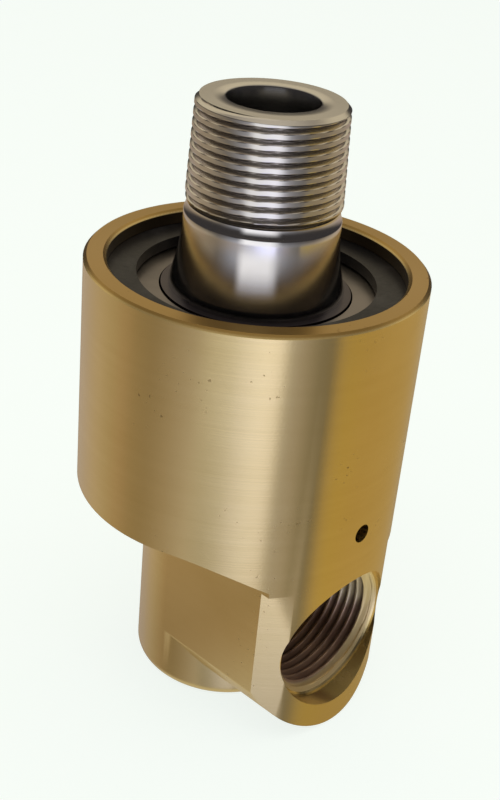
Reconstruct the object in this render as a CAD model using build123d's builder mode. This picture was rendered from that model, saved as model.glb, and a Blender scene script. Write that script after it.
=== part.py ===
from build123d import *
from math import cos, radians, sin, sqrt
import os

# Hydraulic rotary union, 3/4 inch: a brass housing with a side port, and a hollow
# steel rotor that turns in two deep-groove ball bearings above a spring-loaded face seal.
# Millimetres. The origin is on the rotor's axis, in the plane of the housing's foot.
# +Z runs along the rotor towards its thread, and the side port opens along -Y.

# ---- Housing: outside
barrel_wall = 4.0
rim_height = 4.8
rim_chamfer = 0.6
foot_wall = 4.0
foot_fillet = 2.4
boss_wall = 4.8
boss_ground_gap = 0.4
side_pocket_height = 21.3
side_pocket_cutter_radius = 22.0
side_pocket_arc_start = 10.0
boss_corner_chamfer = 1.7
boss_chamfer_drop = 6.6
barrel_floor_wall = 4.4

# ---- Housing: side port, 3/4 inch taper pipe thread
port_bore_radius = 11.7
port_spotface_step = 2.0
port_spotface_depth = 3.8
port_thread_length = 13.2
flow_radius = 8.0
sump_depth = 3.0
weep_hole_radius = 1.75
weep_hole_roof = 0.35

# ---- Bearings, 25 x 52 x 15 mm with nine balls
bearing_bore = 25.0
bearing_outside = 52.0
bearing_width = 15.0
ball_diameter = 7.938
ball_count = 9
ball_circle_shift = 0.54
inner_land_drop = 2.92
outer_land_rise = 3.08
shield_thickness = 0.5
shield_recess = 0.3
shield_seat = 0.5
shield_gap = 0.3
ring_chamfer = 1.0
cage_land_gap = 1.8
cage_height = 10.6
ball_pocket_clearance = 0.15
ball_play = 0.05
fit_clearance = 0.02

# ---- Spacers and retaining rings
spacer_length = 2.0
spacer_wall = 2.5
housing_ring_thickness = 2.0
housing_ring_groove_depth = 1.5
housing_ring_overlap = 5.1
housing_ring_lug_radius = 4.0
housing_ring_lug_offset = 1.5
housing_ring_lug_hole = 1.2
housing_ring_hole_angle = 4.5
housing_ring_gap_angle = 30.0
housing_ring_gap_direction = 41.0
rotor_ring_thickness = 1.2
rotor_ring_groove_depth = 0.55
rotor_ring_height = 2.9
rotor_ring_gap_angle = 50.0
rotor_ring_gap_direction = 90.0
ring_groove_play = 0.1
ring_rim_play = 0.2

# ---- Rotor
rotor_bore_radius = 7.75
thread_length = 17.0
thread_end_radius = 13.0
thread_taper = 1 / 32
thread_chamfer = 0.9
relief_length = 2.5
relief_depth = 0.35
shank_radius = 13.5
shank_length = 1.1
flare_height = 11.4
collar_step = 1.3
collar_height = 1.0
rotor_tail_length = 3.4

# ---- Face seal
rotor_tail_clearance = 0.5
bearing_shoulder = 6.0
relief_bore_depth = 2.0
guide_clearance = 0.08
guide_depth = 4.5
carbon_reach = 1.4
carbon_seat_depth = 4.0
carbon_seat_wall = 2.1
carbon_clearance = 0.05
face_ring_bore_step = 0.2
face_ring_thickness = 2.6
carrier_clearance = 0.6
carrier_rim = 1.55
carrier_flange = 2.0
carrier_rim_drop = 0.8
seal_room = 3.8
tail_wall = 1.2
seat_travel = 1.0
seat_end_clearance = 0.3
seat_ring_section = 1.5
seat_ring_depth = 2.1
carbon_ring_section = 1.3
oring_clearance = 0.04
groove_side_play = 0.15
washer_thickness = 0.7
spring_wire_width = 0.9
spring_wire_height = 0.6
spring_clearance = 0.65
spring_length = 4.1
spring_turns = 2.5
pin_diameter = 1.5
pin_inset = 0.4
pin_depth = 3.0
pin_engagement = 1.7
pin_slot_clearance = 0.15

# ---- Radii that follow from the sizes above
journal_radius = bearing_bore / 2
bearing_radius = bearing_outside / 2
bearing_bore_radius = bearing_radius + fit_clearance
barrel_radius = bearing_radius + barrel_wall
ball_radius = ball_diameter / 2
pitch_radius = (bearing_bore + bearing_outside + 2 * ball_circle_shift) / 4
inner_land_radius = pitch_radius - inner_land_drop
outer_land_radius = pitch_radius + outer_land_rise
cage_thickness = outer_land_radius - inner_land_radius - 2 * cage_land_gap
relief_bore_radius = bearing_radius - bearing_shoulder
housing_ring_groove_radius = bearing_radius + housing_ring_groove_depth
housing_ring_inner_radius = bearing_radius - housing_ring_overlap
rotor_ring_groove_radius = journal_radius - rotor_ring_groove_depth
rotor_ring_outer_radius = journal_radius + rotor_ring_height
relief_radius = shank_radius - relief_depth
collar_radius = inner_land_radius - collar_step
chamber_radius = journal_radius + rotor_tail_clearance
foot_radius = chamber_radius + foot_wall
port_spotface_radius = port_bore_radius + port_spotface_step
boss_radius = port_spotface_radius + boss_wall
carbon_seat_radius = journal_radius - carbon_seat_wall
carbon_outer_radius = carbon_seat_radius - carbon_clearance
carrier_radius = chamber_radius - carrier_clearance
face_ring_seat_radius = carrier_radius - carrier_rim
face_ring_outer_radius = face_ring_seat_radius - carbon_clearance
tail_radius = chamber_radius - seal_room
seat_bore_radius = tail_radius - tail_wall
face_ring_inner_radius = seat_bore_radius + face_ring_bore_step
guide_radius = tail_radius + guide_clearance
spring_mean_radius = tail_radius + spring_clearance + spring_wire_width / 2
pin_circle_radius = carrier_radius - pin_inset

# ---- Heights that follow from the sizes above, from the foot up
port_height = boss_radius + boss_ground_gap
barrel_bottom = port_height + side_pocket_height
port_floor = -(barrel_radius - port_spotface_depth)
port_thread_end = port_floor + port_thread_length
relief_floor = barrel_bottom + barrel_floor_wall
bearing_floor = relief_floor + relief_bore_depth
spacer_base = bearing_floor + bearing_width
upper_bearing_base = spacer_base + spacer_length
bearing_stack_top = upper_bearing_base + bearing_width
barrel_top = bearing_stack_top + rim_height
shank_foot = bearing_stack_top + collar_height + flare_height
relief_start = shank_foot + shank_length
thread_start = relief_start + relief_length
rotor_top = thread_start + thread_length
rotor_tail = bearing_floor - rotor_tail_length
carbon_top = rotor_tail + carbon_seat_depth
seal_plane = rotor_tail - carbon_reach
face_ring_base = seal_plane - face_ring_thickness
carrier_base = face_ring_base - carrier_flange
spring_base = carrier_base - spring_length
chamber_floor = spring_base - washer_thickness
guide_floor = chamber_floor - guide_depth
tail_end = guide_floor + seat_travel + seat_end_clearance
seat_ring_height = chamber_floor - seat_ring_depth
pin_top = carrier_base + pin_engagement
flow_floor = port_height - flow_radius - sump_depth
weep_hole_height = relief_floor - weep_hole_roof - weep_hole_radius

os.makedirs("parts", exist_ok=True)


def save(piece, name):
    """Label a finished piece and write it as its own STEP file."""
    piece.part.label = name
    export_step(piece.part, f"parts/{name}.step")


def ring_part(inner, outer, base, height, bevel=0.0):
    """A plain turned ring on the rotor's axis, its four edges broken by a small bevel."""
    with BuildPart() as ring:
        with BuildSketch(Plane.XY.offset(base)):
            Circle(outer)
            Circle(inner, mode=Mode.SUBTRACT)
        extrude(amount=height)
        if bevel > 0:
            chamfer(ring.edges().filter_by(GeomType.CIRCLE), bevel)
    return ring


def torus_part(mean_radius, section, height):
    """An O-ring: a round section turned about the rotor's axis."""
    with BuildPart() as ring:
        with BuildSketch(Plane.XZ):
            with Locations((mean_radius, height)):
                Circle(section / 2)
        revolve(axis=Axis.Z)
    return ring


# ---- Housing: one brass piece. The barrel holds the bearings, the foot below it holds the seal
# and the flow chamber, and the side port's boss runs out from the foot to the barrel's surface.
with BuildPart() as housing:
    with BuildSketch(Plane.XY.offset(barrel_bottom)):
        Circle(barrel_radius)
    extrude(amount=barrel_top - barrel_bottom)
    rim_edges = housing.edges().filter_by(GeomType.CIRCLE).sort_by(Axis.Z)
    chamfer(rim_edges[-1], rim_chamfer)

    # The boss is as wide as the foot, with a round underside about the port's axis.
    # Its front is the barrel's own turned surface, carried down.
    with BuildSketch(Plane.XZ) as boss_section:
        with Locations((0, port_height)):
            Circle(boss_radius)
        with Locations((0, port_height)):
            Rectangle(2 * boss_radius, barrel_bottom - port_height + rim_chamfer,
                      align=(Align.CENTER, Align.MIN))
        Rectangle(2 * foot_radius, 3 * barrel_top, mode=Mode.INTERSECT)
    extrude(amount=barrel_radius)

    # Gussets left by the round cutter that milled the side pockets: what lay in front of the
    # cutter and above its centre stays between the boss and the barrel.
    with BuildSketch(Plane.YZ.offset(-barrel_radius)) as gusset_section:
        cutter_height = barrel_bottom - side_pocket_cutter_radius
        with Locations((-side_pocket_arc_start, cutter_height)):
            Rectangle(barrel_radius - side_pocket_arc_start,
                      side_pocket_cutter_radius + rim_chamfer, align=(Align.MAX, Align.MIN))
            Circle(side_pocket_cutter_radius, mode=Mode.SUBTRACT)
    extrude(amount=2 * barrel_radius)

    # Everything keeps inside the bar that the housing is turned from.
    with BuildSketch(Plane.XY):
        Circle(barrel_radius)
    extrude(amount=barrel_top, mode=Mode.INTERSECT)

    # The boss's two upright front corners are milled off at 45 degrees.
    facet_y = boss_corner_chamfer - sqrt(barrel_radius**2 - foot_radius**2)
    facet_top = barrel_bottom - boss_chamfer_drop
    with BuildSketch(Plane.XY):
        for side in (-1, 1):
            Polygon((side * foot_radius, facet_y), (0, facet_y - foot_radius),
                    (side * foot_radius, facet_y - foot_radius), align=None)
    extrude(amount=facet_top, mode=Mode.SUBTRACT)

    # The foot: a turned spigot on the rotor's axis, rounded at its lower edge.
    with BuildSketch(Plane.XZ) as foot_section:
        Rectangle(foot_radius, barrel_bottom + rim_chamfer, align=Align.MIN)
        fillet(foot_section.vertices().filter_by(
            lambda v: v.X > 0 and v.Y < barrel_bottom), foot_fillet)
    revolve(axis=Axis.Z)

    # Bored from the top: bearing bore, relief under the bearings, seal chamber, seat guide, flow.
    for radius, floor in ((bearing_bore_radius, bearing_floor), (relief_bore_radius, relief_floor),
                          (chamber_radius, chamber_floor), (guide_radius, guide_floor),
                          (flow_radius, flow_floor)):
        with BuildSketch(Plane.XY.offset(floor)):
            Circle(radius)
        extrude(amount=barrel_top - floor, mode=Mode.SUBTRACT)

    # Groove for the retaining ring above the bearings.
    with BuildSketch(Plane.XY.offset(bearing_stack_top)):
        Circle(housing_ring_groove_radius)
    extrude(amount=housing_ring_thickness + ring_groove_play, mode=Mode.SUBTRACT)
    bore_mouth = housing.edges().filter_by(GeomType.CIRCLE).group_by(Axis.Z)[-1]
    chamfer(bore_mouth.sort_by(SortBy.RADIUS)[0], rim_chamfer)

    # Groove for the seat's O-ring, in the guide.
    seat_groove_radius = tail_radius + oring_clearance + seat_ring_section + oring_clearance
    seat_groove_width = seat_ring_section + 2 * groove_side_play
    with BuildSketch(Plane.XY.offset(seat_ring_height - seat_groove_width / 2)):
        Circle(seat_groove_radius)
    extrude(amount=seat_groove_width, mode=Mode.SUBTRACT)

    # Side port, drilled along -Y: spot face, tapped bore and passage to the flow chamber.
    for radius, inner_end in ((port_spotface_radius, port_floor),
                              (port_bore_radius, port_thread_end), (flow_radius, 0.0)):
        with BuildSketch(Plane.XZ.offset(-inner_end)):
            with Locations((0, port_height)):
                Circle(radius)
        extrude(amount=barrel_radius + inner_end + rim_chamfer, mode=Mode.SUBTRACT)

    # Weep hole from the seal chamber to the front, above the port.
    with BuildSketch(Plane.XZ):
        with Locations((0, weep_hole_height)):
            Circle(weep_hole_radius)
    extrude(amount=barrel_radius + rim_chamfer, mode=Mode.SUBTRACT)

    # Blind holes for the two anti-rotation pins.
    with BuildSketch(Plane.XY.offset(chamber_floor - pin_depth)):
        with PolarLocations(pin_circle_radius, 2):
            Circle(pin_diameter / 2 + fit_clearance)
    extrude(amount=pin_depth + rim_chamfer, mode=Mode.SUBTRACT)
save(housing, "housing")

# ---- Rotor: one turned steel piece, hollow from end to end.
thread_foot_radius = thread_end_radius + thread_length * thread_taper
with BuildPart() as rotor:
    with BuildSketch(Plane.XZ):
        with BuildLine():
            Polyline((rotor_bore_radius, rotor_top),
                     (thread_end_radius - thread_chamfer, rotor_top),
                     (thread_end_radius, rotor_top - thread_chamfer),
                     (thread_foot_radius, thread_start),
                     (relief_radius, thread_start),
                     (relief_radius, relief_start),
                     (shank_radius, relief_start),
                     (shank_radius, shank_foot))
            TangentArc((shank_radius, shank_foot),
                       (collar_radius, bearing_stack_top + collar_height), tangent=(0, -1))
            Polyline((collar_radius, bearing_stack_top + collar_height),
                     (collar_radius, bearing_stack_top),
                     (journal_radius, bearing_stack_top),
                     (journal_radius, bearing_floor),
                     (rotor_ring_groove_radius, bearing_floor),
                     (rotor_ring_groove_radius,
                      bearing_floor - rotor_ring_thickness - ring_groove_play),
                     (journal_radius, bearing_floor - rotor_ring_thickness - ring_groove_play),
                     (journal_radius, rotor_tail),
                     (carbon_seat_radius, rotor_tail),
                     (carbon_seat_radius, carbon_top),
                     (rotor_bore_radius, carbon_top),
                     (rotor_bore_radius, rotor_top))
        make_face()
    revolve(axis=Axis.Z)
save(rotor, "rotor")


def bearing_ring(land_radius, seat_radius, base, shield_seats):
    """An inner or outer bearing ring, with its ball groove and any seats for the shields."""
    with BuildPart() as ring:
        with BuildSketch(Plane.XY.offset(base)):
            Circle(max(land_radius, seat_radius))
            Circle(min(land_radius, seat_radius), mode=Mode.SUBTRACT)
        extrude(amount=bearing_width)
        seat_edges = ring.edges().filter_by(GeomType.CIRCLE)
        chamfer(seat_edges.filter_by(lambda e: abs(e.radius - seat_radius) < 0.001), ring_chamfer)
        with BuildSketch(Plane.XZ):
            with Locations((pitch_radius, base + bearing_width / 2)):
                Circle(ball_radius + ball_play)
        revolve(axis=Axis.Z, mode=Mode.SUBTRACT)
        for seat_floor, seat_depth in shield_seats:
            with BuildSketch(Plane.XY.offset(seat_floor)):
                Circle(outer_land_radius + shield_seat)
            extrude(amount=seat_depth, mode=Mode.SUBTRACT)
    return ring


def build_bearing(name, base):
    """A shielded deep-groove ball bearing whose lower face lies at the height base."""
    middle = base + bearing_width / 2
    seat_depth = shield_recess + shield_thickness
    upper_seat = base + bearing_width - seat_depth

    save(bearing_ring(inner_land_radius, journal_radius + fit_clearance, base, ()),
         f"{name}_inner_ring")
    save(bearing_ring(outer_land_radius, bearing_radius, base,
                      ((base, seat_depth), (upper_seat, seat_depth))), f"{name}_outer_ring")

    with BuildPart() as balls:
        with Locations(Plane.XY.offset(middle)):
            with PolarLocations(pitch_radius, ball_count):
                Sphere(ball_radius)
    save(balls, f"{name}_balls")

    # The cage is a ring between the lands, drilled from the side with a pocket for each ball.
    with BuildPart() as cage:
        with BuildSketch(Plane.XY.offset(middle - cage_height / 2)):
            Circle(pitch_radius + cage_thickness / 2)
            Circle(pitch_radius - cage_thickness / 2, mode=Mode.SUBTRACT)
        extrude(amount=cage_height)
        with Locations(Plane.XY.offset(middle)):
            with PolarLocations(pitch_radius, ball_count):
                Cylinder(ball_radius + ball_pocket_clearance, 2 * cage_thickness,
                         rotation=(0, 90, 0), mode=Mode.SUBTRACT)
    save(cage, f"{name}_cage")

    for level, shield_base in (("lower", base + shield_recess), ("upper", upper_seat)):
        save(ring_part(inner_land_radius + shield_gap,
                       outer_land_radius + shield_seat - fit_clearance,
                       shield_base, shield_thickness), f"{name}_{level}_shield")


build_bearing("lower_bearing", bearing_floor)
build_bearing("upper_bearing", upper_bearing_base)

# ---- Spacer rings between the bearings.
save(ring_part(journal_radius + fit_clearance, journal_radius + spacer_wall, spacer_base,
               spacer_length), "inner_spacer_ring")
save(ring_part(bearing_radius - spacer_wall, bearing_radius, spacer_base,
               spacer_length), "outer_spacer_ring")

# ---- Housing retaining ring: a flat spring ring in its groove, its two eared ends behind the rotor.
def on_circle(radius, angle):
    """A point at an angle, in degrees, on a circle about the rotor's axis."""
    return (radius * cos(radians(angle)), radius * sin(radians(angle)))


def gap_corners(radius, gap_angle, direction):
    """The wedge that opens a retaining ring, about a direction in degrees."""
    return ((0, 0), on_circle(2 * radius, direction - gap_angle / 2),
            on_circle(2 * radius, direction + gap_angle / 2))


lug_circle = housing_ring_inner_radius + housing_ring_lug_offset
with BuildPart() as housing_ring:
    with BuildSketch(Plane.XY.offset(bearing_stack_top)):
        Circle(housing_ring_groove_radius - ring_rim_play)
        Circle(housing_ring_inner_radius, mode=Mode.SUBTRACT)
        for side in (-1, 1):
            gap_edge = housing_ring_gap_direction + side * housing_ring_gap_angle / 2
            with Locations(on_circle(lug_circle, gap_edge)):
                Circle(housing_ring_lug_radius)
        Polygon(*gap_corners(housing_ring_groove_radius, housing_ring_gap_angle,
                             housing_ring_gap_direction), align=None, mode=Mode.SUBTRACT)
        for side in (-1, 1):
            hole_direction = housing_ring_gap_direction + side * (
                housing_ring_gap_angle / 2 + housing_ring_hole_angle)
            with Locations(on_circle(lug_circle, hole_direction)):
                Circle(housing_ring_lug_hole, mode=Mode.SUBTRACT)
    extrude(amount=housing_ring_thickness)
save(housing_ring, "housing_retaining_ring")

# ---- Rotor retaining ring, under the lower bearing's inner ring.
with BuildPart() as rotor_ring:
    with BuildSketch(Plane.XY.offset(bearing_floor - rotor_ring_thickness)):
        Circle(rotor_ring_outer_radius)
        Circle(rotor_ring_groove_radius + fit_clearance, mode=Mode.SUBTRACT)
        Polygon(*gap_corners(rotor_ring_outer_radius, rotor_ring_gap_angle,
                             rotor_ring_gap_direction), align=None, mode=Mode.SUBTRACT)
    extrude(amount=rotor_ring_thickness)
save(rotor_ring, "rotor_retaining_ring")

# ---- Turning half of the face seal: a carbon ring in the rotor's lower end, on its own O-ring.
carbon_groove_radius = carbon_seat_radius - carbon_ring_section - 2 * oring_clearance
carbon_groove_width = carbon_ring_section + 2 * groove_side_play
carbon_groove_height = rotor_tail + carbon_seat_depth / 2
with BuildPart() as carbon:
    with BuildSketch(Plane.XY.offset(seal_plane)):
        Circle(carbon_outer_radius)
        Circle(rotor_bore_radius, mode=Mode.SUBTRACT)
    extrude(amount=carbon_top - seal_plane)
    with BuildSketch(Plane.XY.offset(carbon_groove_height - carbon_groove_width / 2)):
        Circle(carbon_outer_radius)
        Circle(carbon_groove_radius, mode=Mode.SUBTRACT)
    extrude(amount=carbon_groove_width, mode=Mode.SUBTRACT)
save(carbon, "rotating_carbon_ring")
save(torus_part(carbon_groove_radius + oring_clearance + carbon_ring_section / 2,
                carbon_ring_section, carbon_groove_height), "carbon_ring_o_ring")

# ---- Floating half: a hard face ring in a steel carrier, which slides in the housing's guide.
save(ring_part(face_ring_inner_radius, face_ring_outer_radius, face_ring_base,
               face_ring_thickness), "seat_face_ring")
with BuildPart() as carrier:
    with BuildSketch(Plane.XY.offset(carrier_base)):
        Circle(carrier_radius)
    extrude(amount=seal_plane - carrier_rim_drop - carrier_base)
    with BuildSketch(Plane.XY.offset(tail_end)):
        Circle(tail_radius)
    extrude(amount=carrier_base - tail_end)
    with BuildSketch(Plane.XY.offset(face_ring_base)):
        Circle(face_ring_seat_radius)
    extrude(amount=face_ring_thickness, mode=Mode.SUBTRACT)
    with BuildSketch(Plane.XY.offset(tail_end)):
        Circle(seat_bore_radius)
    extrude(amount=seal_plane - tail_end, mode=Mode.SUBTRACT)
    slot_width = pin_diameter + 2 * pin_slot_clearance
    slot_floor = pin_circle_radius - pin_diameter / 2 - pin_slot_clearance
    with BuildSketch(Plane.XY.offset(carrier_base)):
        for side in (-1, 1):
            with Locations((side * (slot_floor + slot_width), 0)):
                Rectangle(2 * slot_width, slot_width)
    extrude(amount=seal_plane - carrier_base, mode=Mode.SUBTRACT)
save(carrier, "seat_carrier")
save(torus_part(tail_radius + oring_clearance + seat_ring_section / 2, seat_ring_section,
                seat_ring_height), "seat_o_ring")

# ---- Spring, the washer that it stands on, and the two pins that stop the seat turning.
save(ring_part(guide_radius, pin_circle_radius - pin_diameter / 2 - pin_slot_clearance,
               chamber_floor, washer_thickness), "spring_washer")
with BuildPart() as spring:
    coil_height = spring_length - spring_wire_height
    with BuildLine() as wire_path:
        Helix(pitch=coil_height / spring_turns, height=coil_height, radius=spring_mean_radius,
              center=(0, 0, spring_base + spring_wire_height / 2))
    with BuildSketch(Plane(origin=wire_path.line @ 0, x_dir=(1, 0, 0),
                           z_dir=wire_path.line % 0)):
        Rectangle(spring_wire_width, spring_wire_height)
    sweep(is_frenet=True)
    # The first and last turns are ground flat where they bear.
    with BuildSketch(Plane.XY.offset(spring_base)):
        Circle(spring_mean_radius + spring_wire_width)
    extrude(amount=spring_length, mode=Mode.INTERSECT)
save(spring, "seal_spring")
with BuildPart() as pins:
    with BuildSketch(Plane.XY.offset(chamber_floor - pin_depth)):
        with PolarLocations(pin_circle_radius, 2):
            Circle(pin_diameter / 2)
    extrude(amount=pin_top - chamber_floor + pin_depth)
save(pins, "anti_rotation_pins")
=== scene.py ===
import math

import bmesh
import bpy
from mathutils import Matrix, Vector


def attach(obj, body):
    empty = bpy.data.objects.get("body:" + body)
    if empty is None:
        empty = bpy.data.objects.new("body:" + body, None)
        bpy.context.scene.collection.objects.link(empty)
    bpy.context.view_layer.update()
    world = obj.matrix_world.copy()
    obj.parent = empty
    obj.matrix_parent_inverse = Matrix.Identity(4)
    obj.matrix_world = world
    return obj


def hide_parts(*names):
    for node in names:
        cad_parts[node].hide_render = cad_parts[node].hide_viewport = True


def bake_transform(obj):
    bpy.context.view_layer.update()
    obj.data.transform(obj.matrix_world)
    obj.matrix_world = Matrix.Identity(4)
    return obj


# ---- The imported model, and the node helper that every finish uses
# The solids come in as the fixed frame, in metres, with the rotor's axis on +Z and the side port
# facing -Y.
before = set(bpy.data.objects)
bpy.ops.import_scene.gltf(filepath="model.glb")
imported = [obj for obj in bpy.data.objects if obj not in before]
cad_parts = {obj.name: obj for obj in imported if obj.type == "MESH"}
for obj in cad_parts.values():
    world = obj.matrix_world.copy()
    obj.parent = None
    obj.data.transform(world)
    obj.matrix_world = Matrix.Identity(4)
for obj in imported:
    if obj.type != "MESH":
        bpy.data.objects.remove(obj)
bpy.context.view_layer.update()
scene = bpy.context.scene
MM = 0.001


class Wire:
    """A node's output that can be worked with in sums and led on into other nodes."""

    def __init__(self, tree, socket=None):
        self.tree = tree
        self.socket = socket

    def node(self, kind, settings=None, inputs=None, output=0):
        """Adds a node: its settings first, then the values and links of its sockets."""
        made = self.tree.nodes.new(kind)
        for name, value in (settings or {}).items():
            if name == "stops":
                ends = made.color_ramp.elements
                ends[0].position, ends[0].color = value[0]
                ends[1].position, ends[1].color = value[-1]
                for position, shade_there in value[1:-1]:
                    ends.new(position).color = shade_there
            else:
                setattr(made, name, value)
        for name, value in (inputs or {}).items():
            if isinstance(value, Wire):
                self.tree.links.new(value.socket, made.inputs[name])
            else:
                made.inputs[name].default_value = value
        return Wire(self.tree, made.outputs[output] if made.outputs else None)

    def maths(self, operation, *values):
        return self.node("ShaderNodeMath", {"operation": operation}, dict(enumerate(values)))

    def __add__(self, other):
        return self.maths("ADD", self, other)

    def __sub__(self, other):
        return self.maths("SUBTRACT", self, other)

    def __rsub__(self, other):
        return self.maths("SUBTRACT", other, self)

    def __mul__(self, other):
        return self.maths("MULTIPLY", self, other)

    def __truediv__(self, other):
        return self.maths("DIVIDE", self, other)

    def __rtruediv__(self, other):
        return self.maths("DIVIDE", other, self)

    def __pow__(self, other):
        return self.maths("POWER", self, other)

    __radd__ = __add__
    __rmul__ = __mul__

    def step(self, low, high):
        """0 below low, 1 above high, and smooth between."""
        return self.node("ShaderNodeMapRange", {"interpolation_type": "SMOOTHSTEP"},
                         {"Value": self, "From Min": low, "From Max": high})

    def band(self, centre, half_width, soft):
        """1 within half_width of centre, falling to 0 over soft on either side."""
        away = self.maths("ABSOLUTE", self - centre)
        return 1 - away.step(half_width, half_width + soft)

    def mix(self, low, high):
        """From the colour low to the colour high as this goes from 0 to 1."""
        return self.node("ShaderNodeMix", {"data_type": "RGBA"}, {0: self, 6: low, 7: high}, 2)

    def stretched(self, x, y, z):
        """This place, with each direction multiplied."""
        return self.node("ShaderNodeVectorMath", {"operation": "MULTIPLY"}, {0: self, 1: (x, y, z)})

    def noise(self, scale, detail, roughness=0.5):
        """Soft noise with this many waves to the metre."""
        return self.node("ShaderNodeTexNoise", None,
                         {"Vector": self, "Scale": scale, "Detail": detail, "Roughness": roughness})

    def split(self):
        """The three parts of a place or a direction."""
        whole = self.node("ShaderNodeSeparateXYZ", None, {0: self})
        return [Wire(self.tree, out) for out in whole.socket.node.outputs]

    def ramp(self, stops):
        """A colour for each value from 0 to 1, from pairs of a value and a colour."""
        return self.node("ShaderNodeValToRGB", {"stops": stops}, {0: self})

    def bump(self, distance, strength):
        """A normal from this as a height, which stands distance metres high at 1."""
        return self.node("ShaderNodeBump", None,
                         {"Height": self, "Distance": distance, "Strength": strength})


def colour(red, green, blue):
    return (red, green, blue, 1.0)


def new_finish(name):
    """A material with an empty surface, its node tree and the place on the object in metres."""
    material = bpy.data.materials.new(name)
    material.use_nodes = True
    tree = material.node_tree
    tree.nodes.clear()
    place = Wire(tree).node("ShaderNodeTexCoord", output=3)
    return material, tree, place


def surface(tree, fixed, driven):
    """The shader itself: plain numbers go on its own sockets, and wires drive the rest."""
    shader = Wire(tree).node("ShaderNodeBsdfPrincipled", None, {**fixed, **driven})
    Wire(tree).node("ShaderNodeOutputMaterial", None, {"Surface": shader})


def dress(nodes, material):
    """Gives the CAD nodes this finish."""
    for name in nodes:
        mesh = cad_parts[name].data
        mesh.materials.clear()
        mesh.materials.append(material)


def piece(name, vertices, faces, material, body, stands_for=()):
    """A mesh piece from its points and faces, in metres, riding on a body."""
    mesh = bpy.data.meshes.new(name)
    mesh.from_pydata(vertices, [], faces)
    mesh.validate()
    obj = bpy.data.objects.new(name, mesh)
    scene.collection.objects.link(obj)
    mesh.materials.append(material)
    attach(obj, body)
    if stands_for:
        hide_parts(*stands_for)
    return obj


# ---- Camera
# A 58 mm lens looks down at about 28 degrees on the corner between the side port and the side
# that faces left, and is turned a few degrees, so the union leans to the left.
camera_place = Vector((-154.358, -135.903, 167.457)) * MM
camera_forward = Vector((0.66237, 0.57788, -0.47679)).normalized()
camera_right = Vector((0.68962, -0.71897, 0.08664)).normalized()
camera_up = camera_right.cross(camera_forward).normalized()
camera_data = bpy.data.cameras.new("camera")
camera_data.lens = 57.73
camera_data.sensor_width = 36.0
camera_data.clip_start = 0.01
camera_data.clip_end = 20.0
camera = bpy.data.objects.new("camera", camera_data)
axes = Matrix((camera_right, camera_up, -camera_forward)).transposed()
camera.matrix_world = Matrix.Translation(camera_place) @ axes.to_4x4()
scene.collection.objects.link(camera)
scene.camera = camera

# ---- Floor
# A wide plain pale floor under the foot, lit evenly from below as on a light table, so that only
# a faint soft shadow falls on it. The metal mirrors the studio's walls instead of it.
floor_finish, tree, place = new_finish("floor_paper")
speckle = place.noise(60.0, 3.0)
surface(tree, {"Base Color": colour(0.30, 0.32, 0.30), "Specular IOR Level": 0.0,
               "Emission Strength": 0.82},
        {"Emission Color": speckle.mix(colour(0.93, 1.0, 0.97), colour(0.94, 1.0, 0.985)),
         "Roughness": 0.9 + speckle * 0.1})
floor_half = 3.0
floor_mesh = bpy.data.meshes.new("floor")
floor_mesh.from_pydata([(-floor_half, -floor_half, 0), (floor_half, -floor_half, 0),
                        (floor_half, floor_half, 0), (-floor_half, floor_half, 0)], [],
                       [(0, 1, 2, 3)])
floor = bpy.data.objects.new("floor", floor_mesh)
floor_mesh.materials.append(floor_finish)
scene.collection.objects.link(floor)
floor.visible_glossy = False

# ---- Studio
# Pale paper all round as the camera sees it. What the metal mirrors is a room with a tall white
# panel in front, a dark gap to its right, warm wooden walls at both sides and a dim ceiling.
scene.view_settings.view_transform = "Standard"
world = bpy.data.worlds.new("studio")
scene.world = world
world.use_nodes = True
tree = world.node_tree
tree.nodes.clear()
direction = Wire(tree).node("ShaderNodeTexCoord", output=0)
east, north, height = direction.split()
# Azimuth in degrees round from the direction back to the camera, positive to the right.
turn = math.atan2(camera_forward.x, camera_forward.y)
ahead = east * -math.sin(turn) + north * -math.cos(turn)
aside = east * math.cos(turn) + north * -math.sin(turn)
azimuth = aside.maths("ARCTAN2", aside, ahead) * (180 / math.pi)
level = height.maths("ARCSINE", height) * (180 / math.pi)

# The walls' colours round the room, each as an azimuth in degrees, red, green and blue: first
# for the part well below level, then for the rest.
LOWER_WALLS = ((-180, 0.45, 0.38, 0.30), (-137, 0.475, 0.41, 0.38), (-117, 0.485, 0.41, 0.33),
               (-102, 0.42, 0.35, 0.25), (-90, 0.39, 0.29, 0.20), (-79, 0.30, 0.236, 0.155),
               (-66, 0.29, 0.23, 0.160), (-51, 0.35, 0.29, 0.235), (-34, 0.43, 0.385, 0.37),
               (-26, 0.47, 0.45, 0.47), (-18, 0.57, 0.57, 0.67), (-10, 0.71, 0.73, 0.92),
               (-2, 0.97, 1.00, 1.38), (6, 1.18, 1.23, 1.70), (13, 1.28, 1.32, 1.82),
               (21, 1.22, 1.24, 1.68), (25, 0.74, 0.74, 0.92), (28, 0.48, 0.48, 0.60),
               (36, 0.39, 0.36, 0.39), (44, 0.29, 0.265, 0.25), (51, 0.20, 0.185, 0.17),
               (58.5, 0.20, 0.175, 0.14), (61, 0.44, 0.335, 0.16), (70, 0.48, 0.355, 0.11),
               (90, 0.47, 0.34, 0.13), (135, 0.46, 0.34, 0.15), (170, 0.45, 0.37, 0.26))
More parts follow.
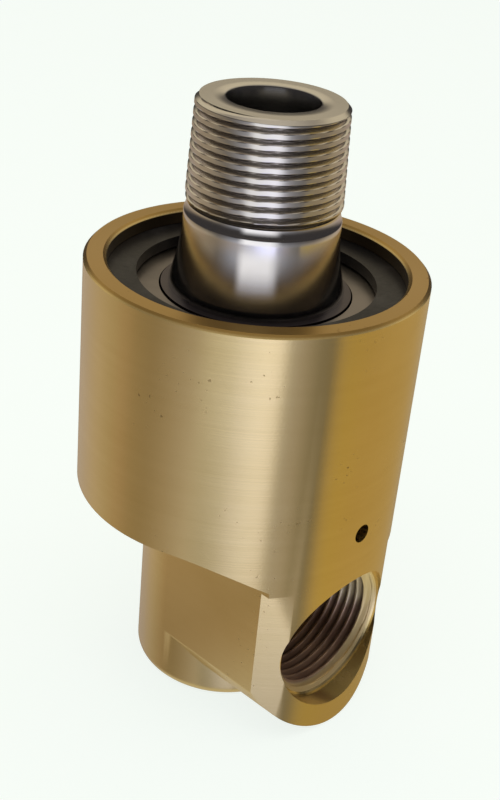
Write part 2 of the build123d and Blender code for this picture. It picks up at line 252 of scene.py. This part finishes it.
UPPER_WALLS = ((-180, 0.40, 0.30, 0.21), (-143, 0.42, 0.33, 0.24), (-123, 0.50, 0.39, 0.26),
               (-101, 0.50, 0.39, 0.25), (-82, 0.49, 0.41, 0.29), (-72, 0.38, 0.32, 0.24),
               (-61, 0.22, 0.20, 0.175), (-52, 0.26, 0.25, 0.25), (-41, 0.36, 0.37, 0.41),
               (-32, 0.48, 0.49, 0.54), (-27, 0.88, 0.88, 0.92), (-20, 1.18, 1.18, 1.21),
               (0, 1.15, 1.15, 1.19), (14, 1.15, 1.15, 1.19), (21, 0.90, 0.90, 0.94),
               (27, 0.62, 0.62, 0.66), (33, 0.40, 0.40, 0.43), (42, 0.27, 0.27, 0.29),
               (55, 0.22, 0.21, 0.21), (64, 0.26, 0.24, 0.23), (72, 0.31, 0.27, 0.24),
               (83, 0.36, 0.30, 0.25), (103, 0.52, 0.43, 0.31), (124, 0.56, 0.46, 0.35),
               (144, 0.52, 0.41, 0.34), (165, 0.45, 0.35, 0.26))


def wall_colours(stops):
    """The stops with azimuths -180 to 180 put on the ramp's scale from 0 to 1."""
    return [((a + 180) / 360, colour(*rgb)) for a, *rgb in stops]


around = (azimuth + 180) / 360
walls = level.step(-22.0, -15.0).mix(around.ramp(wall_colours(LOWER_WALLS)),
                                     around.ramp(wall_colours(UPPER_WALLS)))
# The white panel is dimmer towards its foot. The walls end in a dark gap under the ceiling, and
# the panel stands a little higher than they do.
panel = azimuth.band(2.0, 22.0, 16.0)
foot_shade = panel * (1 - level.step(-46.0, -18.0)) * 0.7
walls = foot_shade.mix(walls, colour(0.20, 0.17, 0.12))
walls = level.step(-64.0, -46.0).mix(colour(0.66, 0.60, 0.46), walls)
wall_top = level.step(-19.0, azimuth.band(0.0, 45.0, 35.0) * 7.0 - 6.0)
panel_top = level.step(-9.0, 12.0)
walls = (wall_top + (panel_top - wall_top) * azimuth.band(0.0, 20.0, 12.0)).mix(
    walls, colour(0.042, 0.038, 0.038))
# The ceiling is darker on the camera's side, and comes down lower behind the union.
behind = 1 - azimuth.band(0.0, 90.0, 30.0)
ceiling = behind.mix(colour(0.24, 0.21, 0.17), colour(0.61, 0.53, 0.38))
overhead = level.step(45.0, 80.0).mix(ceiling, colour(0.60, 0.54, 0.44))
walls = level.step(22.0 - behind * 14.0, 38.0 - behind * 18.0).mix(walls, overhead)
seen = Wire(tree).node("ShaderNodeLightPath", output=0)
shade = seen.mix(walls, colour(0.93, 0.982, 0.922))
background = Wire(tree).node("ShaderNodeBackground", None, {"Color": shade, "Strength": 1.0})
Wire(tree).node("ShaderNodeOutputWorld", None, {"Surface": background})


def soft_light(name, azimuth_deg, elevation_deg, distance, size, power, tint):
    """A square soft light aimed at the middle of the union, placed round from the camera."""
    a = turn + math.pi - math.radians(azimuth_deg)
    e = math.radians(elevation_deg)
    aim = Vector((0, 0, 0.055))
    away = Vector((math.sin(a) * math.cos(e), math.cos(a) * math.cos(e), math.sin(e)))
    data = bpy.data.lights.new(name, "AREA")
    data.shape = "SQUARE"
    data.size = size
    data.energy = power
    data.color = tint
    lamp = bpy.data.objects.new(name, data)
    lamp.matrix_world = (Matrix.Translation(aim + away * distance)
                         @ away.to_track_quat("Z", "Y").to_matrix().to_4x4())
    scene.collection.objects.link(lamp)
    lamp.visible_glossy = False


soft_light("key_light", -30.0, 60.0, 1.2, 1.0, 3.0, (1.0, 0.985, 0.95))
soft_light("fill_light", 70.0, 55.0, 1.4, 1.2, 2.0, (1.0, 0.99, 0.96))

# ---- Housing
# One piece of brass bar, turned on a lathe and milled at the sides. It shows fine turning lines
# and a few nicks. The solid's port is bored to the thread's crest only, so it is opened out here
# to the root, with a 45 degree mouth at the spot face.
port_height = 18.9
spot_face = -26.2
port_thread_end = -13.0
port_bore_radius = 13.05
port_mouth_radius = 13.35
port_steps = 192
rim_height = 83.0
bore_shade_radius = 27.95
bore_shade_foot = 44.1

housing_finish, tree, place = new_finish("turned_brass")
x, y, z = place.split()
fine_lines = place.stretched(12.0, 12.0, 4200.0).noise(1.0, 3.0, 0.6)
broad_lines = place.stretched(6.0, 6.0, 700.0).noise(1.0, 2.0, 0.5)
cloud = place.noise(55.0, 3.0, 0.55)
grain = place.noise(2600.0, 2.0, 0.6)
# Small nicks that stay dark, only where a second, wider pattern allows them.
nick_places = place.noise(75.0, 2.0, 0.5).step(0.52, 0.66)
nicks = place.noise(1300.0, 1.0, 0.4).step(0.70, 0.78) * nick_places
height_map = fine_lines * 0.55 + broad_lines * 0.3 + grain * 0.25 - nicks * 0.6
tone = (cloud * 0.6 + broad_lines * 0.25 + grain * 0.15).step(0.3, 0.7)
brass = tone.mix(colour(0.84, 0.665, 0.31), colour(0.91, 0.735, 0.37))
# The rim's top is painted darker and more coppery, as painted shade. The bore is painted near black
# as painted shade in the hollow, as far out as the floor of the retaining ring's groove.
rim = z.step((rim_height - 0.2) * MM, (rim_height + 0.2) * MM)
brass = (rim * 0.85).mix(brass, colour(0.47, 0.29, 0.085))
radius = (x * x + y * y) ** 0.5
inside = 1 - radius.step((bore_shade_radius - 0.15) * MM, (bore_shade_radius + 0.15) * MM)
above_foot = z.step((bore_shade_foot - 0.1) * MM, (bore_shade_foot + 0.1) * MM)
in_bore = inside * above_foot * (1 - z.step((rim_height - 0.3) * MM, rim_height * MM))
brass = (in_bore * 0.93).mix(brass, colour(0.085, 0.062, 0.052))
brass = (nicks * 0.5).mix(brass, colour(0.25, 0.15, 0.06))
# The lower end is painted darker and duller, as painted shade towards the foot.
brass = ((1 - z.step(4 * MM, 34 * MM)) * 0.55).mix(brass, colour(0.60, 0.50, 0.28))
shine = 0.19 + cloud * 0.05 + grain * 0.04 + nicks * 0.2 + rim * 0.08 + in_bore * 0.1
surface(tree, {"Metallic": 1.0, "Specular IOR Level": 0.5, "Anisotropic": 0.75,
               "Anisotropic Rotation": 0.25},
        {"Base Color": brass, "Roughness": shine, "Normal": height_map.bump(0.035 * MM, 0.6)})

# The solid's mesh is copied with its points joined, and the port is bored out by an exact cut.
housing_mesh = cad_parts["housing"].data.copy()
housing_mesh.name = "housing_body"
housing = bpy.data.objects.new("housing_body", housing_mesh)
scene.collection.objects.link(housing)
housing_mesh.materials.clear()
housing_mesh.materials.append(housing_finish)


def lathe(profile, steps):
    """Points and faces of a closed ring whose section, a loop of (radius, height), turns."""
    angles = [2 * math.pi * i / steps for i in range(steps)]
    vertices = [(r * math.cos(a), r * math.sin(a), h) for a in angles for r, h in profile]
    n = len(profile)
    faces = [(i * n + j, ((i + 1) % steps) * n + j, ((i + 1) % steps) * n + (j + 1) % n,
              i * n + (j + 1) % n) for i in range(steps) for j in range(n)]
    return vertices, faces


def to_port(points):
    """From a lathe's own axes to the port's: its height runs inwards along +Y."""
    return [(px * MM, pz * MM, (port_height - py) * MM) for px, py, pz in points]


def edit_mesh(mesh, change):
    """Runs change on the mesh's editable form and puts the result back."""
    bm = bmesh.new()
    bm.from_mesh(mesh)
    change(bm)
    bm.to_mesh(mesh)
    bm.free()


def face_outwards(bm):
    bmesh.ops.recalc_face_normals(bm, faces=bm.faces)


def join_points(bm):
    bmesh.ops.remove_doubles(bm, verts=bm.verts, dist=1e-7)


def shade_by_angle(mesh, degrees):
    """Smooth across shallow edges, sharp across the rest."""
    def mark(bm):
        for edge in bm.edges:
            shallow = edge.calc_face_angle(0.0) < math.radians(degrees)
            edge.smooth = len(edge.link_faces) == 2 and shallow
        for face in bm.faces:
            face.smooth = True

    edit_mesh(mesh, mark)


# The cutter starts inside the crest and before the spot face, in the open.
clear_radius = 11.4
mouth_depth = port_mouth_radius - port_bore_radius
cut_ring, cut_faces = lathe([(clear_radius, spot_face - 0.4), (port_mouth_radius, spot_face - 0.4),
                             (port_mouth_radius, spot_face),
                             (port_bore_radius, spot_face + mouth_depth),
                             (port_bore_radius, port_thread_end - 0.4),
                             (clear_radius, port_thread_end)], port_steps)
cutter_mesh = bpy.data.meshes.new("port_cutter")
cutter_mesh.from_pydata(to_port(cut_ring), [], cut_faces)
cutter = bpy.data.objects.new("port_cutter", cutter_mesh)
scene.collection.objects.link(cutter)
edit_mesh(cutter_mesh, face_outwards)
edit_mesh(housing_mesh, join_points)
cut = housing.modifiers.new("bore_out", "BOOLEAN")
cut.operation = "DIFFERENCE"
cut.solver = "EXACT"
cut.object = cutter
bpy.context.view_layer.update()
shown = housing.evaluated_get(bpy.context.evaluated_depsgraph_get())
cut_mesh = bpy.data.meshes.new_from_object(shown)
housing.modifiers.clear()
housing.data = cut_mesh
bpy.data.objects.remove(cutter)
shade_by_angle(housing.data, 25.0)
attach(housing, "housing")
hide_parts("housing")

# ---- Thread in the side port
# A right-hand pipe thread, 14 to the inch, cut in the brass. It has a cone at its mouth, fades out
# at the inner end, and has painted shade in its roots and its lower half, with its upper half
# painted lighter.
PITCH = 1.814
port_thread_root = 12.85
port_thread_crest = 11.7
port_flank = 0.84
port_fade_length = 1.5
cone_slope = 0.95
sleeve_radius = 13.2
thread_start = spot_face + mouth_depth
thread_stop = port_thread_end - 0.5

port_finish, tree, place = new_finish("cut_brass_thread")
x, y, z = place.split()
wear = place.noise(900.0, 3.0, 0.6)
patch = place.noise(120.0, 2.0, 0.5)
# Painted light and shade: the upper half is painted bright and the lower half dark, with a wavy
# edge between.
lit_brass = patch.step(0.3, 0.7).mix(colour(0.86, 0.74, 0.50), colour(0.92, 0.82, 0.60))
shaded_brass = patch.step(0.35, 0.7).mix(colour(0.33, 0.21, 0.16), colour(0.48, 0.33, 0.25))
lower_half_shade = 1 - (z + (patch - 0.5) * (6 * MM)).step(15.0 * MM, 19.5 * MM)
above_axis = z - port_height * MM
port_distance = (x * x + above_axis * above_axis) ** 0.5
mouth = 1 - y.step((spot_face + 1.7) * MM, (spot_face + 2.1) * MM)
# Painted shade in the roots of the thread, away from the mouth.
root_shade = port_distance.step(12.3 * MM, 12.8 * MM) * (1 - mouth)
lit_brass = mouth.mix(lit_brass, colour(0.86, 0.69, 0.35))
thread_brass = (lower_half_shade * (1 - mouth * 0.7)).mix(lit_brass, shaded_brass)
thread_brass = (root_shade * 0.8).mix(thread_brass, colour(0.13, 0.085, 0.065))
surface(tree, {"Metallic": 0.6, "Anisotropic": 0.3},
        {"Base Color": thread_brass,
         "Roughness": 0.30 + wear * 0.14,
         "Normal": wear.bump(0.03 * MM, 0.5)})


def thread_height(turns, flank):
    """From root (0) to crest (1), a little rounded; flank is its share of half a pitch."""
    part_of_pitch = turns - math.floor(turns)
    rise = 1 - abs(2 * part_of_pitch - 1)
    rise = min(max((rise - 0.04) / flank, 0.0), 1.0)
    return rise * rise * (3 - 2 * rise) * 0.4 + rise * 0.6


def thread_grid(low, high, steps, rows_per_pitch, radius_at):
    """Points, faces and row count of a threaded surface as a grid closed round the axis."""
    rows = max(2, int(round((high - low) / PITCH * rows_per_pitch)))
    vertices = []
    for j in range(rows + 1):
        h = low + (high - low) * j / rows
        for i in range(steps):
            a = 2 * math.pi * i / steps
            r = radius_at(h, a)
            vertices.append((r * math.cos(a), r * math.sin(a), h))
    faces = [(j * steps + i, j * steps + (i + 1) % steps, (j + 1) * steps + (i + 1) % steps,
              (j + 1) * steps + i) for j in range(rows) for i in range(steps)]
    return vertices, faces, rows


def port_thread_radius(h, a):
    """Between root and crest, behind a cone at the mouth; the last turn fades out."""
    fade = max(min(1.0, (thread_stop - h) / port_fade_length), 0.0)
    rise = thread_height(h / PITCH - a / (2 * math.pi), port_flank)
    depth = port_thread_root - port_thread_crest
    cone = port_bore_radius - (h - thread_start) * cone_slope
    return max(port_thread_root - depth * rise * fade, cone)


def ring_points(r, h, steps):
    angles = [2 * math.pi * i / steps for i in range(steps)]
    return [(r * math.cos(a), r * math.sin(a), h) for a in angles]


grid, faces, rows = thread_grid(thread_start, thread_stop, port_steps, 16, port_thread_radius)
# A plain sleeve behind the thread closes it, just inside the brass.
last_row = rows * port_steps
sleeve_front = len(grid)
sleeve_rear = sleeve_front + port_steps
grid += ring_points(sleeve_radius, thread_start, port_steps)
grid += ring_points(sleeve_radius, thread_stop, port_steps)
for i in range(port_steps):
    k = (i + 1) % port_steps
    faces.append((i, sleeve_front + i, sleeve_front + k, k))
    faces.append((last_row + i, last_row + k, sleeve_rear + k, sleeve_rear + i))
    faces.append((sleeve_front + i, sleeve_rear + i, sleeve_rear + k, sleeve_front + k))
port_thread = piece("port_thread", to_port(grid), faces, port_finish, "housing")
edit_mesh(port_thread.data, face_outwards)
shade_by_angle(port_thread.data, 40.0)

# ---- Bearings
# Two shielded deep-groove ball bearings of ground steel, each with pressed shields, nine balls
# and a pressed cage. Only the upper shield of the upper one shows.
# The rings' steel is painted near black, as painted shade down in the bore.
shaded_ring_finish, tree, place = new_finish("ground_steel")
lines = place.stretched(30.0, 30.0, 5000.0).noise(1.0, 2.0, 0.5)
haze = place.noise(180.0, 2.0, 0.5)
surface(tree, {"Metallic": 1.0, "Anisotropic": 0.3},
        {"Base Color": haze.mix(colour(0.065, 0.055, 0.065), colour(0.11, 0.095, 0.105)),
         "Roughness": 0.24 + haze * 0.1,
         "Normal": lines.bump(0.01 * MM, 0.4)})
bearings = ("lower_bearing", "upper_bearing")
dress([f"{b}_{part}" for b in bearings for part in ("inner_ring", "outer_ring")], shaded_ring_finish)

ball_finish, tree, place = new_finish("polished_ball_steel")
smear = place.noise(500.0, 2.0, 0.5)
surface(tree, {"Metallic": 1.0},
        {"Base Color": smear.mix(colour(0.62, 0.62, 0.63), colour(0.70, 0.70, 0.71)),
         "Roughness": 0.06 + smear * 0.08})
dress([f"{b}_balls" for b in bearings], ball_finish)

cage_finish, tree, place = new_finish("pressed_cage_steel")
rolled = place.stretched(200.0, 200.0, 900.0).noise(1.0, 3.0, 0.6)
surface(tree, {"Metallic": 1.0},
        {"Base Color": rolled.mix(colour(0.36, 0.33, 0.28), colour(0.50, 0.46, 0.40)),
         "Roughness": 0.32 + rolled * 0.15,
         "Normal": rolled.bump(0.03 * MM, 0.4)})
dress([f"{b}_cage" for b in bearings], cage_finish)

shield_finish, tree, place = new_finish("rolled_shield_steel")
oil = place.noise(90.0, 3.0, 0.55)
scratch = place.stretched(2400.0, 300.0, 300.0).noise(1.0, 2.0, 0.6)
surface(tree, {"Metallic": 1.0},
        {"Base Color": oil.step(0.3, 0.7).mix(colour(0.19, 0.172, 0.165),
                                              colour(0.31, 0.28, 0.265)),
         "Roughness": 0.24 + oil * 0.22,
         "Normal": scratch.bump(0.02 * MM, 0.35)})
dress([f"{b}_{part}" for b in bearings for part in ("lower_shield", "upper_shield")],
      shield_finish)

# ---- Spacer rings
# Two plain turned steel rings that hold the bearings apart.
spacer_finish, tree, place = new_finish("turned_steel")
turned = place.stretched(20.0, 20.0, 3200.0).noise(1.0, 3.0, 0.6)
surface(tree, {"Metallic": 1.0, "Anisotropic": 0.3},
        {"Base Color": turned.mix(colour(0.40, 0.395, 0.38), colour(0.52, 0.515, 0.50)),
         "Roughness": 0.25 + turned * 0.15,
         "Normal": turned.bump(0.02 * MM, 0.5)})
dress(["inner_spacer_ring", "outer_spacer_ring"], spacer_finish)

# ---- Retaining rings
# Stamped spring steel with a black phosphate coat, a little shiny with oil.
black_finish, tree, place = new_finish("black_phosphate_steel")
crystals = place.noise(1500.0, 3.0, 0.6)
worn = place.noise(140.0, 3.0, 0.6)
surface(tree, {"Metallic": 0.2, "Specular IOR Level": 0.3},
        {"Base Color": worn.step(0.45, 0.75).mix(colour(0.010, 0.010, 0.012),
                                                 colour(0.035, 0.034, 0.036)),
         "Roughness": 0.26 + crystals * 0.2,
         "Normal": crystals.bump(0.03 * MM, 0.5)})
dress(["housing_retaining_ring", "rotor_retaining_ring"], black_finish)

# ---- Rotor
# One hollow turned steel piece. Its free end carries the male taper thread, 14 to the inch, and
# below it a polished shank flares out over the bearing. The tail holds the circlip's groove and
# the pocket for the carbon ring.
bore_radius = 7.75
rotor_top = 111.6
thread_end_radius = 12.8
taper = 1 / 26
thread_depth = 0.95
rotor_flank = 0.52
end_chamfer_radius = 12.15
runout_foot = 93.7
runout_length = 1.2
relief_radius = 13.05
relief_foot = 92.1
shank_radius = 13.5
shank_foot = 91.0
flare_radius = 15.3
flare_foot = 79.6
shoulder_height = 78.6
bearing_seat_radius = 12.5
groove_radius = 11.95
groove_top = 46.6
groove_foot = 45.3
tail_foot = 43.2
tail_chamfer = 0.3
pocket_radius = 10.4
pocket_floor = 47.2
bore_top = 111.2
rotor_steps = 288

rotor_finish, tree, place = new_finish("polished_turned_steel")
x, y, z = place.split()
fine_lines = place.stretched(14.0, 14.0, 5200.0).noise(1.0, 3.0, 0.6)
haze = place.noise(160.0, 2.0, 0.5)
threaded = z.step(93 * MM, 95 * MM)
radius = (x * x + y * y) ** 0.5
# The bore is painted darker, as painted shade inside the hole.
in_bore = 1 - radius.step((bore_radius + 0.15) * MM, (bore_radius + 0.45) * MM)
steel = (haze * 0.5 + threaded * 0.5).mix(colour(0.79, 0.775, 0.765), colour(0.77, 0.74, 0.69))
steel = (in_bore * 0.8).mix(steel, colour(0.42, 0.43, 0.46))
# The foot of the flare is painted darker and a little blue, as painted shade.
flare_foot_shade = (1 - z.step(80.5 * MM, 87.5 * MM)) * (1 - in_bore) * 0.6
steel = flare_foot_shade.mix(steel, colour(0.42, 0.47, 0.62))
# Painted shade in the roots of the thread, away from the end face.
crest = (thread_end_radius + rotor_top * taper) * MM - z * taper
off_end_face = radius.step(11.6 * MM, 11.8 * MM) * (1 - z.step(111.0 * MM, 111.4 * MM))
root_shade = (crest - radius).step(0.50 * MM, 0.85 * MM) * threaded * off_end_face
steel = (root_shade * 0.55).mix(steel, colour(0.24, 0.21, 0.19))
surface(tree, {"Metallic": 1.0, "Anisotropic": 0.7, "Anisotropic Rotation": 0.25},
        {"Base Color": steel,
         "Roughness": 0.10 + threaded * 0.08 + haze * 0.05,
         "Normal": fine_lines.bump(0.006 * MM, 0.4)})


def rotor_thread_radius(h, a):
    """Taper thread with a chamfered end and a run-out into the relief below it."""
    crest = thread_end_radius + (rotor_top - h) * taper
    rise = thread_height(h / PITCH - a / (2 * math.pi), rotor_flank)
    depth = thread_depth * min(1.0, max(0.0, (h - runout_foot + 0.2) / 1.3))
    r = crest - depth * (1 - rise)
    blend = min(1.0, max(0.0, (h - runout_foot) / runout_length))
    r = relief_radius + (r - relief_radius) * blend
    return min(r, end_chamfer_radius + rotor_top - h)


grid, faces, rows = thread_grid(runout_foot, rotor_top, rotor_steps, 22, rotor_thread_radius)
# The smooth outline goes on below the thread: a cove out to the shank, the flare as one arc, the
# tail with the circlip's groove and the carbon ring's pocket, and back up the bore.
cove = [(relief_radius, 1.9), (13.06, 1.6), (13.09, 1.3), (13.14, 1.0), (13.21, 0.7),
        (13.29, 0.42), (13.38, 0.18), (13.46, 0.02), (shank_radius, -0.12)]
outline = [(r, relief_foot + above) for r, above in cove] + [(shank_radius, shank_foot)]
flare_width = flare_radius - shank_radius
flare_drop = shank_foot - flare_foot
flare_arc = (flare_width**2 + flare_drop**2) / (2 * flare_width)
flare_parts = 14
for i in range(1, flare_parts + 1):
    angle = math.asin(flare_drop / flare_arc) * i / flare_parts
    outline.append((shank_radius + flare_arc * (1 - math.cos(angle)),
                    shank_foot - flare_arc * math.sin(angle)))
outline += [(flare_radius, shoulder_height), (bearing_seat_radius, shoulder_height),
            (bearing_seat_radius, groove_top), (groove_radius, groove_top),
            (groove_radius, groove_foot), (bearing_seat_radius, groove_foot),
            (bearing_seat_radius, tail_foot + tail_chamfer),
            (bearing_seat_radius - tail_chamfer, tail_foot), (pocket_radius, tail_foot),
            (pocket_radius, pocket_floor), (bore_radius, pocket_floor)]
bore_parts = 24
outline += [(bore_radius, pocket_floor + (bore_top - pocket_floor) * k / bore_parts)
            for k in range(1, bore_parts + 1)]
outline += [(bore_radius + 0.12, rotor_top - 0.12), (bore_radius + 0.35, rotor_top),
            (10.0, rotor_top), (12.0, rotor_top)]
# Rings of points down the outline join the thread's lowest row to its highest one.
starts = [0] + [len(grid) + k * rotor_steps for k in range(len(outline))] + [rows * rotor_steps]
for r, h in outline:
    grid += ring_points(r, h, rotor_steps)
for first, second in zip(starts, starts[1:]):
    for i in range(rotor_steps):
        k = (i + 1) % rotor_steps
        faces.append((first + i, second + i, second + k, first + k))
rotor = piece("rotor_body", [(px * MM, py * MM, pz * MM) for px, py, pz in grid], faces,
              rotor_finish, "rotor", ("rotor",))
edit_mesh(rotor.data, face_outwards)
shade_by_angle(rotor.data, 32.0)

# ---- Face seal
# A lapped carbon ring turns with the rotor on a ceramic ring, which floats in a steel carrier on
# a spring of flat wire. Rubber rings seal both, and two pins keep the carrier from turning.
carbon_finish, tree, place = new_finish("lapped_carbon")
pores = place.noise(1800.0, 3.0, 0.6)
surface(tree, {"Metallic": 0.0, "Specular IOR Level": 0.6},
        {"Base Color": pores.mix(colour(0.014, 0.014, 0.015), colour(0.035, 0.035, 0.037)),
         "Roughness": 0.28 + pores * 0.2,
         "Normal": pores.bump(0.02 * MM, 0.4)})
dress(["rotating_carbon_ring"], carbon_finish)

ceramic_finish, tree, place = new_finish("lapped_ceramic")
grains = place.noise(1200.0, 2.0, 0.5)
surface(tree, {"Metallic": 0.0, "Specular IOR Level": 0.6},
        {"Base Color": grains.mix(colour(0.78, 0.75, 0.68), colour(0.86, 0.83, 0.77)),
         "Roughness": 0.16 + grains * 0.12})
dress(["seat_face_ring"], ceramic_finish)

rubber_finish, tree, place = new_finish("moulded_rubber")
mould = place.noise(1400.0, 3.0, 0.6)
surface(tree, {"Metallic": 0.0, "Specular IOR Level": 0.4},
        {"Base Color": mould.mix(colour(0.010, 0.010, 0.010), colour(0.022, 0.022, 0.022)),
         "Roughness": 0.42 + mould * 0.2,
         "Normal": mould.bump(0.03 * MM, 0.4)})
dress(["seat_o_ring", "carbon_ring_o_ring"], rubber_finish)

wire_finish, tree, place = new_finish("drawn_spring_steel")
drawn = place.noise(1100.0, 3.0, 0.6)
surface(tree, {"Metallic": 1.0},
        {"Base Color": drawn.mix(colour(0.36, 0.36, 0.37), colour(0.50, 0.50, 0.51)),
         "Roughness": 0.22 + drawn * 0.16,
         "Normal": drawn.bump(0.02 * MM, 0.4)})
dress(["seal_spring", "spring_washer"], wire_finish)
dress(["seat_carrier", "anti_rotation_pins"], spacer_finish)

# The spring stands on its washer. Its mesh is copied from the solid's, with its place baked into
# the points.
spring_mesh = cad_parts["seal_spring"].data.copy()
spring_mesh.name = "seal_spring_wire"
spring = bpy.data.objects.new("seal_spring_wire", spring_mesh)
scene.collection.objects.link(spring)
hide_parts("seal_spring")
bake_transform(spring)
